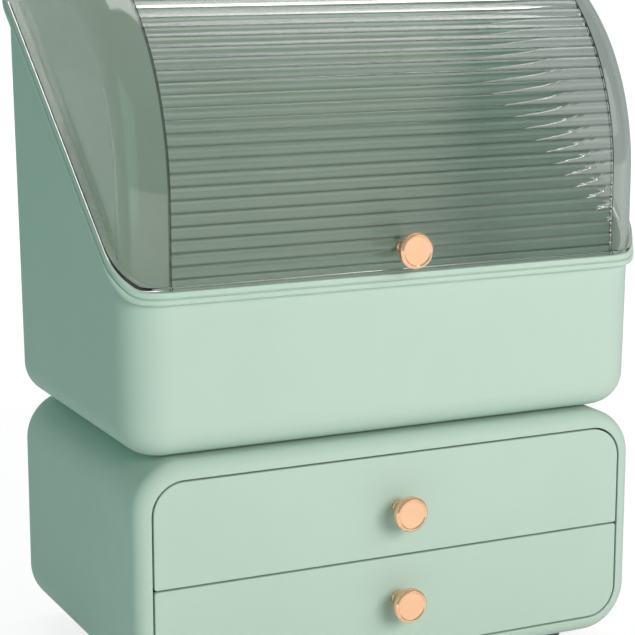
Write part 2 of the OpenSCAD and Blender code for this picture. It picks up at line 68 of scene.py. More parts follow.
# each lamp: place, point it faces, width, height, watts, colour, and whether it shows in shiny surfaces and
# through clear ones
lamps = {
    "key_softbox": ((0.16, -1.5, 0.66), (0.0, -0.05, 0.17), 0.8, 0.7, 17.2, (1.0, 0.87, 0.865), False, False),
    "top_softbox": ((0.1, 0.25, 1.4), (0.0, 0.0, 0.3), 1.5, 0.7, 8.5, (1.0, 0.97, 0.96), True, True),
    "right_glow": ((0.95, -1.2, 0.9), (0.0, 0.0, 0.25), 1.0, 0.8, 4.0, (1.0, 0.95, 0.95), True, False),
    "back_fill": ((0.45, 1.5, 0.8), (0.0, 0.0, 0.2), 1.0, 0.8, 9.0, (1.0, 0.97, 0.96), False, False),
    "left_fill": ((-1.4, -0.35, 0.5), (0.0, 0.0, 0.15), 0.8, 1.0, 2.2, (0.48, 1.0, 0.95), True, False),
}


def addLamp(name, location, target, width, height, watts, colour, shines, refracts):
    data = bpy.data.lights.new(name, "AREA")
    data.shape, data.size, data.size_y = "RECTANGLE", width, height
    data.energy, data.color = watts, colour
    lamp = bpy.data.objects.new(name, data)
    lamp.location = location
    aim = np.array(target) - np.array(location)
    flat = math.hypot(aim[0], aim[1])
    lamp.rotation_euler = (math.atan2(flat, -aim[2]), 0, math.atan2(-aim[0], aim[1]))
    lamp.visible_camera, lamp.visible_transmission, lamp.visible_glossy = False, refracts, shines
    bpy.context.scene.collection.objects.link(lamp)


for lampName, values in lamps.items():
    addLamp(lampName, *values)
print("camera and lamps placed")


# node helpers

def place(tree, kind, values=(), **settings):
    # adds one node, sets its settings, and fills its inputs from (input, value or output socket) pairs
    node = tree.nodes.new("ShaderNode" + kind)
    for key, value in settings.items():
        setattr(node, key, value)
    for key, value in values:
        if isinstance(value, bpy.types.NodeSocket):
            tree.links.new(value, node.inputs[key])
        else:
            node.inputs[key].default_value = value
    return node


def combine(tree, operation, *values):
    return place(tree, "Math", enumerate(values), operation=operation).outputs[0]


def blend(tree, share, first, second):
    return place(tree, "Mix", [(0, share), (6, first), (7, second)], data_type="RGBA").outputs[2]


def ramp(tree, value, start, end):
    # 0 at the start and 1 at the end, and no further beyond them
    node = place(tree, "MapRange", [("Value", value), ("From Min", start), ("From Max", end)])
    return node.outputs["Result"]


def noise(tree, where, scale, detail, roughness=0.5):
    return place(tree, "TexNoise", [("Vector", where), ("Scale", scale), ("Detail", detail),
                                    ("Roughness", roughness)]).outputs["Fac"]


def mixSurface(tree, outputName, share, first, second):
    mixed = place(tree, "MixShader", [(0, share), (1, first.outputs[0]), (2, second.outputs[0])])
    tree.links.new(mixed.outputs[0], tree.nodes[outputName].inputs["Surface"])


def newMaterial(name):
    material = bpy.data.materials.new(name)
    material.use_nodes = True
    return material, material.node_tree, material.node_tree.nodes["Principled BSDF"]


def newGroup(name, inputs, outputs):
    group = bpy.data.node_groups.new(name, "ShaderNodeTree")
    kinds = {"c": "NodeSocketColor", "f": "NodeSocketFloat"}
    for direction, sockets in (("INPUT", inputs), ("OUTPUT", outputs)):
        for socketName, kind in sockets:
            group.interface.new_socket(socketName, in_out=direction, socket_type=kinds[kind])
    return group, group.nodes.new("NodeGroupInput").outputs, group.nodes.new("NodeGroupOutput").inputs


# detail and roughness of both noises, and the range of the first one that carries the tint
grainLook = {"blotch": (3.0, 0.55), "grain": (2.0, 0.5), "tint": (0.35, 0.68)}


def grainGroup():
    # moulded surface: broad blotches shift the colour and the gloss, and a fine grain gives the height
    group, given, result = newGroup(
        "moulded_grain",
        [("Colour", "c"), ("Shade", "c"), ("Blotch Size", "f"), ("Grain Size", "f"),
         ("Roughness", "f"), ("Roughness Spread", "f")],
        [("Colour", "c"), ("Roughness", "f"), ("Height", "f")])
    where = place(group, "TexCoord").outputs["Object"]
    blotch = noise(group, where, given["Blotch Size"], *grainLook["blotch"])
    grain = noise(group, where, given["Grain Size"], *grainLook["grain"])
    tinted = blend(group, ramp(group, blotch, *grainLook["tint"]), given["Colour"], given["Shade"])
    centred = combine(group, "SUBTRACT", combine(group, "ADD", blotch, grain), 1.0)
    gloss = combine(group, "MULTIPLY_ADD", centred, given["Roughness Spread"], given["Roughness"])
    group.links.new(tinted, result["Colour"])
    group.links.new(gloss, result["Roughness"])
    group.links.new(grain, result["Height"])
    return group


wearAndHighlightLook = {"patches": 60.0, "edge": (0.51, 0.58), "polish": -0.12}


def wearAndHighlightGroup():
    # handled edges, and on the rose gold a painted highlight: convex edges, found by pointiness and broken up
    # by noise, take the worn and highlight colour and turn glossier
    group, given, result = newGroup(
        "edge_wear_and_highlight",
        [("Colour", "c"), ("Worn And Highlight Colour", "c"), ("Roughness", "f"), ("Amount", "f")],
        [("Colour", "c"), ("Roughness", "f")])
    where = place(group, "TexCoord").outputs["Object"]
    edge = ramp(group, place(group, "NewGeometry").outputs["Pointiness"], *wearAndHighlightLook["edge"])
    broken = combine(group, "MULTIPLY", edge, noise(group, where, wearAndHighlightLook["patches"], 4.0))
    mask = combine(group, "MULTIPLY", broken, given["Amount"])
    group.links.new(blend(group, mask, given["Colour"], given["Worn And Highlight Colour"]), result["Colour"])
    group.links.new(combine(group, "MULTIPLY_ADD", mask, wearAndHighlightLook["polish"], given["Roughness"]),
                    result["Roughness"])
    return group


dustLook = {"specks": 420.0, "patches": 18.0, "facing": (0.3, 1.0), "colour": (0.82, 0.81, 0.79, 1.0),
            "dulling": 0.5}


def dustGroup():
    # settled dust: faces that look up hold it in uneven patches, which pale the colour and dull the gloss
    group, given, result = newGroup(
        "settled_dust",
        [("Colour", "c"), ("Roughness", "f"), ("Amount", "f")],
        [("Colour", "c"), ("Roughness", "f")])
    where = place(group, "TexCoord").outputs["Object"]
    up = place(group, "SeparateXYZ", [(0, place(group, "NewGeometry").outputs["Normal"])]).outputs["Z"]
    mask = given["Amount"]
    for part in (ramp(group, up, *dustLook["facing"]), noise(group, where, dustLook["specks"], 3.0),
                 noise(group, where, dustLook["patches"], 3.0)):
        mask = combine(group, "MULTIPLY", mask, part)
    group.links.new(blend(group, mask, given["Colour"], dustLook["colour"]), result["Colour"])
    group.links.new(combine(group, "MULTIPLY_ADD", mask, dustLook["dulling"], given["Roughness"]),
                    result["Roughness"])
    return group


groups = {"grain": grainGroup(), "wearAndHighlight": wearAndHighlightGroup(), "dust": dustGroup()}
print("shared node groups built")

# finishes

# colour and shade are the two ends of the colour variation; grainDepth is in metres
finishes = {
    "mint": {"colour": (0.475, 0.640, 0.548), "shade": (0.455, 0.622, 0.530), "wornAndHighlight": (0.66, 0.79, 0.71),
             "roughness": 0.52, "spread": 0.10, "blotch": 9.0, "grain": 900.0, "grainDepth": 0.00002,
             "wearAndHighlight": 0.35, "dust": 0.10},
    "paleMint": {"colour": (0.63, 0.75, 0.67), "shade": (0.60, 0.73, 0.65), "wornAndHighlight": (0.72, 0.82, 0.75),
                 "roughness": 0.5, "spread": 0.10, "blotch": 12.0, "grain": 800.0, "grainDepth": 0.00003,
                 "wearAndHighlight": 0.3, "dust": 0.15},
    # rose gold: its worn-and-highlight colour and amount paint a highlight on the knobs' edges
    "roseGold": {"colour": (0.95, 0.60, 0.385), "shade": (0.93, 0.565, 0.355), "wornAndHighlight": (1.0, 0.86, 0.74),
                 "roughness": 0.15, "spread": 0.08, "blotch": 90.0, "grain": 2600.0, "grainDepth": 0.000003,
                 "wearAndHighlight": 0.9, "dust": 0.0, "metallic": 0.82},
    "zincSteel": {"colour": (0.60, 0.61, 0.63), "shade": (0.50, 0.52, 0.55), "wornAndHighlight": (0.74, 0.74, 0.75),
                  "roughness": 0.3, "spread": 0.2, "blotch": 260.0, "grain": 2000.0, "grainDepth": 0.000006,
                  "wearAndHighlight": 0.6, "dust": 0.0, "metallic": 1.0},
    "oliveRubber": {"colour": (0.06, 0.085, 0.068), "shade": (0.05, 0.07, 0.056), "wornAndHighlight": (0.13, 0.16, 0.135),
                    "roughness": 0.72, "spread": 0.2, "blotch": 60.0, "grain": 1400.0, "grainDepth": 0.00006,
                    "wearAndHighlight": 0.6, "dust": 0.3},
    "softSilicone": {"colour": (0.66, 0.70, 0.69), "shade": (0.60, 0.65, 0.64), "wornAndHighlight": (0.75, 0.78, 0.77),
                     "roughness": 0.55, "spread": 0.15, "blotch": 40.0, "grain": 1100.0,
                     "grainDepth": 0.00004, "wearAndHighlight": 0.2, "dust": 0.2},
}


def grainNode(tree, look):
    # the moulded grain with one finish's colours, sizes and gloss
    return place(tree, "Group", [("Colour", (*look["colour"], 1)), ("Shade", (*look["shade"], 1)),
                                 ("Blotch Size", look["blotch"]), ("Grain Size", look["grain"]),
                                 ("Roughness", look["roughness"]), ("Roughness Spread", look["spread"])],
                 node_tree=groups["grain"]).outputs


def dressShader(tree, shader, colour, roughness, height, depth):
    bump = place(tree, "Bump", [("Height", height), ("Distance", depth), ("Strength", 1.0)])
    tree.links.new(colour, shader.inputs["Base Color"])
    tree.links.new(roughness, shader.inputs["Roughness"])
    tree.links.new(bump.outputs["Normal"], shader.inputs["Normal"])


def opaqueMaterial(name, look):
    # grain, then edge wear with its painted highlight, then dust, each one handing its colour and roughness
    # on to the next
    material, tree, shader = newMaterial(name)
    grain = grainNode(tree, look)
    wearAndHighlight = place(tree, "Group", [("Colour", grain["Colour"]), ("Roughness", grain["Roughness"]),
                                 ("Worn And Highlight Colour", (*look["wornAndHighlight"], 1)), ("Amount", look["wearAndHighlight"])],
                 node_tree=groups["wearAndHighlight"]).outputs
    dust = place(tree, "Group", [("Colour", wearAndHighlight["Colour"]), ("Roughness", wearAndHighlight["Roughness"]),
                                 ("Amount", look["dust"])], node_tree=groups["dust"]).outputs
    dressShader(tree, shader, dust["Colour"], dust["Roughness"], grain["Height"], look["grainDepth"])
    shader.inputs["Metallic"].default_value = look.get("metallic", 0.0)
    return material


materials = {name: opaqueMaterial(name, look) for name, look in finishes.items()}
print("finishes built:", len(materials))

backdrop = {"seen": (1.0, 1.0, 1.0, 1), "through": (0.70, 0.80, 0.745, 1), "mirrored": (0.36, 0.42, 0.39, 1)}


def backdropRays(tree):
    # which rays see the plain backdrop, and its colour: white straight on, darker through clear plastic and
    # in mirrors; a ray that has met a matt surface sees the real lamps and floor instead
    path = place(tree, "LightPath").outputs
    glossy, through = path["Is Glossy Ray"], path["Is Transmission Ray"]
    seen = combine(tree, "MAXIMUM", combine(tree, "MAXIMUM", path["Is Camera Ray"], glossy), through)
    direct = combine(tree, "LESS_THAN", path["Diffuse Depth"], 0.5)
    colour = blend(tree, through, backdrop["seen"], backdrop["through"])
    return combine(tree, "MULTIPLY", seen, direct), blend(tree, glossy, colour, backdrop["mirrored"])


floorLook = {"size": 8.0, "colour": (0.86, 0.86, 0.86, 1), "seenWhite": 0.75, "glow": 1.12,
             "fade": (0.5, 1.3), "bright": (1.0, 0.97, 0.94, 1), "brightY": (0.0, -0.16),
             "roughness": 0.9, "specular": 0.1}
domeLook = {"colour": (0.58, 1.0, 0.88, 1), "strength": 0.115}


def buildFloor():
    # pale floor: its own shading keeps the shadow, and the backdrop's colour is mixed in, fully so far away
    look, half = floorLook, floorLook["size"] / 2
    mesh = bpy.data.meshes.new("floor")
    corners = [(-half, -half, 0), (half, -half, 0), (half, half, 0), (-half, half, 0)]
    mesh.from_pydata(corners, [], [(0, 1, 2, 3)])
    floor = bpy.data.objects.new("floor", mesh)
    bpy.context.scene.collection.objects.link(floor)
    material, tree, shader = newMaterial("floor_paper")
    shader.inputs["Base Color"].default_value = look["colour"]
    shader.inputs["Roughness"].default_value = look["roughness"]
    shader.inputs["Specular IOR Level"].default_value = look["specular"]
    where = place(tree, "TexCoord").outputs["Object"]
    fromObject = place(tree, "VectorMath", [(0, where)], operation="LENGTH").outputs["Value"]
    whiter = place(tree, "MapRange", [("Value", fromObject), ("From Min", look["fade"][0]),
                                      ("From Max", look["fade"][1]), ("To Min", look["seenWhite"]),
                                      ("To Max", 1.0)], interpolation_type="SMOOTHSTEP").outputs["Result"]
    seen, colour = backdropRays(tree)
    # mirrors see the floor in front of the object brighter
    inFront = ramp(tree, place(tree, "SeparateXYZ", [(0, where)]).outputs["Y"], *look["brightY"])
    mirrored = combine(tree, "MULTIPLY", inFront, place(tree, "LightPath").outputs["Is Glossy Ray"])
    white = place(tree, "Emission", [("Color", blend(tree, mirrored, colour, look["bright"])),
                                     ("Strength", look["glow"])])
    mixSurface(tree, "Material Output", combine(tree, "MULTIPLY", seen, whiter), shader, white)
    mesh.materials.append(material)


def buildWorld():
    # plain studio: a faint sea-green dome lights the object, and rays that see the backdrop get its colour
    world = bpy.data.worlds.new("studio")
    bpy.context.scene.world = world
    world.use_nodes = True
    tree = world.node_tree
    dome = tree.nodes["Background"]
    dome.inputs["Color"].default_value = domeLook["colour"]
    dome.inputs["Strength"].default_value = domeLook["strength"]
    seen, colour = backdropRays(tree)
    plain = place(tree, "Background", [("Color", colour), ("Strength", 1.0)])
    mixSurface(tree, "World Output", seen, dome, plain)


buildFloor()
buildWorld()
print("floor and world built")


# surfaces

def easedProfile(corners, closed=False, steps=5):
    # polyline with rounded corners: each (across, along, radius) corner becomes an arc that touches both its
    # sides
    corners = np.array(corners, float)
    count, rounded = len(corners), []
    for i in range(count):
        corner, radius = corners[i, :2], corners[i, 2]
        if radius <= 0 or (not closed and i in (0, count - 1)):
            rounded.append(corner[None])
            continue
        before = corners[(i - 1) % count, :2] - corner
        after = corners[(i + 1) % count, :2] - corner
        before, after = before / np.linalg.norm(before), after / np.linalg.norm(after)
        half = math.acos(np.clip(before @ after, -1, 1)) / 2
        middle = (before + after) / np.linalg.norm(before + after)
        centre = corner + middle * radius / math.sin(half)
        start = corner + before * radius / math.tan(half) - centre
        side = corner + after * radius / math.tan(half) - centre
        turn = math.atan2(start[0] * side[1] - start[1] * side[0], start @ side)
        angle = np.linspace(0, turn, steps + 1)
        quarter = np.array([-start[1], start[0]])
        rounded.append(centre + np.cos(angle)[:, None] * start + np.sin(angle)[:, None] * quarter)
    return np.concatenate(rounded)


def arcPoints(centre, radius, fromDeg, toDeg, steps):
    angle = np.radians(np.linspace(fromDeg, toDeg, steps + 1))
    return np.stack([centre[0] + radius * np.cos(angle), centre[1] + radius * np.sin(angle)], 1)


def ringPath(width, depth, radii, cornerSteps=14, sideSteps=(1, 1, 1, 1)):
    # rounded rectangle: round each corner the point turns about the corner's axis, and between corners it
    # runs straight; gives the points and the directions that point outward there
    signs = ((1, 1), (-1, 1), (-1, -1), (1, -1))
    radii = np.broadcast_to(np.array(radii, float), 4)
    points, outward, arcs = [], [], []
    for k, sign in enumerate(signs):
        angle = np.radians(90 * k + np.linspace(0, 90, cornerSteps + 1))
        direction = np.stack([np.cos(angle), np.sin(angle)], 1)
        axis = np.array(sign) * (np.array([width, depth]) / 2 - radii[k])
        arcs.append((axis + direction * radii[k], direction))
    for k in range(4):
        points.append(arcs[k][0])
        outward.append(arcs[k][1])
        share = np.linspace(0, 1, sideSteps[k] + 1)[1:-1, None]
        points.append(arcs[k][0][-1] * (1 - share) + arcs[(k + 1) % 4][0][0] * share)
        outward.append(np.repeat(arcs[k][1][-1:], len(share), 0))
    return np.concatenate(points), np.concatenate(outward)


def gridSurface(points, closeRows=False, poleFirst=False, poleLast=False):
    # faces of a grid of rows, each one a closed loop; a pole closes its row with a fan round one middle point
    rows, columns = points.shape[:2]
    row = np.arange(rows if closeRows else rows - 1)
    column = np.arange(columns)
    a = (row[:, None] * columns + column[None]).ravel()
    b = (row[:, None] * columns + (column[None] + 1) % columns).ravel()
    nextRow = (row + 1) % rows
    c = (nextRow[:, None] * columns + (column[None] + 1) % columns).ravel()
    d = (nextRow[:, None] * columns + column[None]).ravel()
    faces = np.stack([a, b, c, d], 1).tolist()
    vertices = [points.reshape(-1, 3)]
    for wanted, first in ((poleFirst, 0), (poleLast, (rows - 1) * columns)):
        if wanted:
            ring = first + np.arange(columns)
            centre = sum(len(v) for v in vertices)
            vertices.append(points.reshape(-1, 3)[ring].mean(0)[None])
            fan = np.stack([ring, np.roll(ring, -1), np.full(columns, centre)], 1)
            faces += fan.tolist()
    return np.concatenate(vertices), faces


def joined(surfaces):
    vertices, faces, start = [], [], 0
    for points, own in surfaces:
        vertices.append(points)
        faces += [[start + i for i in face] for face in own]
        start += len(points)
    return np.concatenate(vertices), faces


def carried(path, profile, toSpace, **closing):
    # profile carried round a path: the first number of each profile point moves it outward, and toSpace gets
    # the second
    points, outward = path
    flat = points[None] + outward[None] * profile[:, 0][:, None, None]
    return gridSurface(toSpace(flat, profile[:, 1][:, None] + np.zeros(len(points))), **closing)


def upright(centreY, baseZ):
    # plan (x, y) with heights
    return lambda flat, height: np.stack([flat[..., 0], flat[..., 1] + centreY, height + baseZ], -1)


def facing(centreZ, y):
    # front view (x, z) with depths counted backward from y
    return lambda flat, depth: np.stack([flat[..., 0], y + depth, flat[..., 1] + centreZ], -1)


def turned(profile, y, x, z, steps=72):
    # profile (radius, forward) turned once round an axis that runs along Y and out to the front
    angle = np.linspace(0, 2 * np.pi, steps, endpoint=False)
    radius, forward = profile[:, 0][:, None], profile[:, 1][:, None]
    points = np.stack([x + radius * np.cos(angle), y - forward + 0 * angle, z + radius * np.sin(angle)], -1)
    return gridSurface(points, poleFirst=True, poleLast=True)


def sideExtruded(outline, fromX, toX):
    # side view (y, z) carried from one x to another, closed by a flat face at both ends
    count = len(outline)
    ends = [np.column_stack([np.full(count, x), outline]) for x in (fromX, toX)]
    step = np.arange(count)
    walls = np.stack([step, (step + 1) % count, (step + 1) % count + count, step + count], 1).tolist()
    return np.concatenate(ends), walls + [step.tolist(), (step[::-1] + count).tolist()]


def toMesh(name, surface):
    vertices, faces = surface
    placed = (np.asarray(vertices) * mm + (0, drawerFrontY, 0)).tolist()
    mesh = bpy.data.meshes.new(name)
    mesh.from_pydata(placed, [], faces)
    build = bmesh.new()
    build.from_mesh(mesh)
    bmesh.ops.recalc_face_normals(build, faces=build.faces)
    build.to_mesh(mesh)
    build.free()
    return mesh


def finishPiece(piece, body, material, replaced, crease=32):
    # smooth shading with crisp lines where faces meet at more than the crease angle
    mesh = piece.data
    mesh.shade_smooth()
    mesh.set_sharp_from_angle(angle=math.radians(crease))
    mesh.materials.clear()
    mesh.materials.append(materials[material])
    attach(piece, body)
    if replaced:
        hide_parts(*replaced)
    return piece


def addPiece(name, surface, body, material, replaced=(), crease=32):
    piece = bpy.data.objects.new(name, toMesh(name, surface))
    bpy.context.scene.collection.objects.link(piece)
    return finishPiece(piece, body, material, replaced, crease)


# cabinet

cabinet = {"width": 268.0, "height": 116.0, "depth": 168.0, "corner": 24.0, "edge": 8.0, "wall": 3.0,
           "frame": 8.0, "foot": 8.0, "lipFrom": 3.1, "lipTo": 5.5, "lipEnd": 13.0, "ease": 0.35}
cabinetMidZ = cabinet["foot"] + cabinet["height"] / 2
cabinetRing = ringPath(cabinet["width"], cabinet["height"], cabinet["corner"], 24)


def frontFrame():
    # closed section carried round the cabinet's outline: rounded nose, opening wall, lip and seam
    c = cabinet
    nose = arcPoints((-c["edge"], c["edge"]), c["edge"], 0, -86, 12)
    back = easedProfile([(-c["frame"], 0.0, 0), (-c["frame"], c["edge"], 0.3), (-c["lipTo"], c["edge"], 0.2),
                         (-c["lipTo"], c["lipEnd"], 0.4), (-c["lipFrom"], c["lipEnd"], 0.4),
                         (-c["lipFrom"], c["edge"], 0.2), (0.0, c["edge"], 0)], steps=3)
    start = easedProfile([(*nose[-1], 0), (-c["frame"], 0.0, c["ease"]), (-c["frame"], 2.0, 0)])
    section = np.concatenate([nose[:-1], start, back[1:-1]])
    return carried(cabinetRing, section, facing(cabinetMidZ, 0), closeRows=True)


def cabinetShell():
    # from the middle of the back, round the back edge, forward to the seam, and back along the inside
    c = cabinet
    inner = c["edge"] - c["wall"]
    outside = arcPoints((-c["edge"], c["depth"] - c["edge"]), c["edge"], 90, 0, 12)
    inside = arcPoints((-c["edge"], c["depth"] - c["edge"]), inner, 0, 90, 8)
    section = np.concatenate([[(-c["edge"] - 1, c["depth"])], outside,
                              [(0, c["depth"] / 2), (0, c["edge"]), (-c["wall"], c["edge"])], inside,
                              [(-c["edge"] - 1, c["depth"] - c["wall"])]])
    shell = carried(cabinetRing, section, facing(cabinetMidZ, 0), poleFirst=True, poleLast=True)
    return joined([shell] + shellRibs())


ribs = {"thick": 2.2, "reach": 6.0, "bury": 1.5, "from": 25.0, "to": 166.0, "levels": (36.9, 59.65, 85.25),
        "ease": 0.5}


def shellRibs():
    # bars on both side walls: an eased section carried backward, closed at both ends
    made = []
    outer, thick = cabinet["width"] / 2 - cabinet["wall"], ribs["thick"]
    for side in (-1, 1):
        for low in ribs["levels"]:
            near, far = outer - ribs["reach"], outer + ribs["bury"]
            section = easedProfile([(near, low, ribs["ease"]), (far, low, 0), (far, low + thick, 0),
                                    (near, low + thick, ribs["ease"])], closed=True, steps=3)
            along = np.array([ribs["from"], ribs["to"]])
            points = np.stack([np.broadcast_to(side * section[:, 0], (2, len(section))),
                               np.broadcast_to(along[:, None], (2, len(section))),
                               np.broadcast_to(section[:, 1], (2, len(section)))], -1)
            made.append(gridSurface(points, poleFirst=True, poleLast=True))
    return made


addPiece("cabinet_front_frame_body", frontFrame(), "cabinet", "mint", ["cabinet_front_frame"])
addPiece("cabinet_shell_body", cabinetShell(), "cabinet", "mint", ["cabinet_shell"])

feet = {"height": 8.0, "topRadius": 10.0, "lowRadius": 8.0, "peg": 3.0, "pegTop": 11.0, "x": 100.0,
        "y": (26.0, 142.0), "ease": 1.0}


def foot(x, y):
    # tapered foot turned round an upright axis, with an eased lower edge and its peg
    f = feet
    section = easedProfile([
        (0.6, 0.0, 0), (f["lowRadius"], 0.0, f["ease"]), (f["topRadius"], f["height"], 0.3),
        (f["peg"], f["height"], 0.2), (f["peg"], f["pegTop"], 0.3), (0.6, f["pegTop"], 0)])
    angle = np.linspace(0, 2 * np.pi, 56, endpoint=False)
    points = np.stack([x + section[:, 0][:, None] * np.cos(angle), y + section[:, 0][:, None] * np.sin(angle),
                       section[:, 1][:, None] + 0 * angle], -1)
    return gridSurface(points, poleFirst=True, poleLast=True)


for side, x in (("left", -feet["x"]), ("right", feet["x"])):
    for end, y in (("front", feet["y"][0]), ("back", feet["y"][1])):
        node = "foot_" + end + "_" + side
        addPiece(node + "_rubber", foot(x, y), "cabinet", "oliveRubber", [node])
print("cabinet built")

# drawers

drawers = {"frontWidth": 250.2, "frontHeights": {"lower": 47.45, "upper": 49.85}, "thick": 3.0,
           "roundCorner": 15.1, "innerCorner": 1.2, "ease": 0.5, "levels": {"lower": 16.9, "upper": 65.25},
           "trayWidth": 248.0, "trayLength": 152.0, "trayHeight": 38.0, "trayCorner": 15.0, "trayFloor": 14.0,
           "trayWall": 2.0, "trayLift": 1.0}


def drawerFront(low, height, topRadius, lowRadius):
    # panel: from the middle of the face, over the eased edge, back along its side to the middle of the rear
    d = drawers
    ring = ringPath(d["frontWidth"], height, (topRadius, topRadius, lowRadius, lowRadius), 16)
    section = easedProfile([(-0.9, 0.0, 0), (0.0, 0.0, d["ease"]), (0.0, d["thick"], 0.3),
                            (-0.9, d["thick"], 0)])
    return carried(ring, section, facing(low + height / 2, 0), poleFirst=True, poleLast=True)


def drawerTray(low):
    # tub: from under its middle, round the floor edge, up the wall, over the rim and down inside
    d = drawers
    ring = ringPath(d["trayWidth"], d["trayLength"], d["trayCorner"], 16)
    outer = arcPoints((-d["trayFloor"], d["trayFloor"]), d["trayFloor"], -90, 0, 10)
    rim = easedProfile([(0, d["trayHeight"] - 2, 0), (0, d["trayHeight"], 0.8),
                        (-d["trayWall"], d["trayHeight"], 0.8), (-d["trayWall"], d["trayHeight"] - 2, 0)])
    inner = arcPoints((-d["trayFloor"], d["trayFloor"]), d["trayFloor"] - d["trayWall"], 0, -90, 10)
    section = np.concatenate([[(-d["trayFloor"] - 0.5, 0)], outer, rim, inner,
                              [(-d["trayFloor"] - 0.5, d["trayWall"])]])
    middleY = d["thick"] + d["trayLength"] / 2
    return carried(ring, section, upright(middleY, low), poleFirst=True, poleLast=True)


# rise is how far a drawer's knob stands above the middle of its front
knobs = {"radius": 8.5, "out": 15.0, "disc": 4.4, "stem": 3.6, "waist": 3.1, "neck": 4.8, "ring": 1.9,
         "dish": 0.6, "rise": {"lower": 3.0, "upper": -1.0}}


def knob(y, z):
    # stem that widens to a disc with a bevelled ring round its flat face, turned about its axis
    k = knobs
    back = k["out"] - k["disc"]
    section = easedProfile([
        (0.4, 0.0, 0), (k["stem"], 0.0, 0.2), (k["stem"], 0.8, 0.3), (k["waist"], 1.7, 0.8),
        (k["neck"] - 0.6, back - 1.2, 1.5), (k["neck"], back + 0.1, 0.3),
        (k["radius"] - 0.7, back + 0.45, 0.5), (k["radius"], back + 1.3, 0.8),
        (k["radius"], k["out"] - 0.9, 0.4), (k["radius"] - 1.0, k["out"], 0.4),
        (k["radius"] - k["ring"] + 0.5, k["out"], 0.25),
        (k["radius"] - k["ring"], k["out"] - k["dish"], 0.3), (0.4, k["out"] - k["dish"], 0)], steps=6)
    return turned(section, y, 0, z, 96)


for level in ("upper", "lower"):
    radii = (drawers["roundCorner"], drawers["innerCorner"])[::1 if level == "upper" else -1]
    body, low, height = level + "_drawer", drawers["levels"][level], drawers["frontHeights"][level]
    addPiece(body + "_front_panel", drawerFront(low, height, *radii), body, "mint",
             [body + "_front"])
    addPiece(body + "_tray_tub", drawerTray(low + drawers["trayLift"]), body, "paleMint",
             [body + "_tray"])
    addPiece(body + "_knob_metal", knob(0, low + height / 2 + knobs["rise"][level]), body,
             "roseGold", [body + "_knob"], 50)
print("drawers built")

# case

case = {"width": 270.6, "depth": 174.8, "base": 124.8, "corner": 21.0, "floor": 17.0, "wall": 3.0,
        "frontY": -0.4, "slope": math.tan(math.radians(0.73)), "frontHeight": 73.0, "rise": 131.7,
        "slopeStart": 3.6, "slopeEnd": 166.8, "frontBend": 14.0, "backBend": 24.0, "rim": 6.0}
caseMidY = case["frontY"] + case["depth"] / 2
rimZ = case["base"] + case["frontHeight"]
slopeY, slopeEndY = case["frontY"] + case["slopeStart"], case["frontY"] + case["slopeEnd"]
rimBackZ = rimZ + case["rise"]
slopeAngle = math.atan2(case["rise"], slopeEndY - slopeY)
caseBackY = case["frontY"] + case["depth"] + case["slope"] * (rimBackZ + case["rim"] - case["base"])


def cutHeight(y, off):
    # height of the sloping cut at y, moved by off at right angles: level, bend, slope, bend and level
    frontY = slopeY - case["frontBend"] * math.tan(slopeAngle / 2)
    backY = slopeEndY + case["backBend"] * math.tan(slopeAngle / 2)
    frontR, backR = case["frontBend"] - off, case["backBend"] + off
    bendEnd = frontY + frontR * math.sin(slopeAngle)
    bendStart = backY - backR * math.sin(slopeAngle)
    frontCentre, backCentre = rimZ + case["frontBend"], rimBackZ - case["backBend"]
    rising = frontCentre - frontR * math.cos(slopeAngle) + (y - bendEnd) * math.tan(slopeAngle)
    low = frontCentre - np.sqrt(np.maximum(frontR ** 2 - (y - frontY) ** 2, 0))
    high = backCentre + np.sqrt(np.maximum(backR ** 2 - (y - backY) ** 2, 0))
    return np.select([y < frontY, y < bendEnd, y < bendStart, y < backY], [rimZ + off, low, rising, high],
                     rimBackZ + off)


def caseSurface(ring, grow, z):
    # point on the case's wall, moved outward by grow, at height z: the wall leans out with height
    points, outward = ring
    lean = grow + case["slope"] * (z - case["base"] + grow)
    flat = points + outward * lean[..., None]
    return np.stack([flat[..., 0], flat[..., 1] + caseMidY, z], -1)


def rimRow(ring, grow, off):
    # the wall's points that lie on the sloping cut, found by stepping to the height where both agree
    z = np.full(len(ring[0]), rimZ)
    for _ in range(5):
        z = cutHeight(caseSurface(ring, grow, z)[:, 1], off)
    return caseSurface(ring, grow, z)


def floorRow(ring, grow, deg):
    # rounding between the wall and the floor, from the flat floor (0) up to the leaning wall
    radius = case["floor"] + grow
    lean = math.atan(case["slope"])
    turn = math.radians(min(deg, 90 - math.degrees(lean)))
    across = grow + case["slope"] * radius - radius / math.cos(lean) + radius * math.sin(turn)
    z = case["base"] - grow + radius * (1 - math.cos(turn))
    flat = ring[0] + ring[1] * across
    return np.stack([flat[:, 0], flat[:, 1] + caseMidY, np.full(len(flat), z)], -1)


caseRim = {"bead": 3.5, "beadTop": 2.8, "groove": 2.2, "grooveTop": 3.4, "band": 2.9}


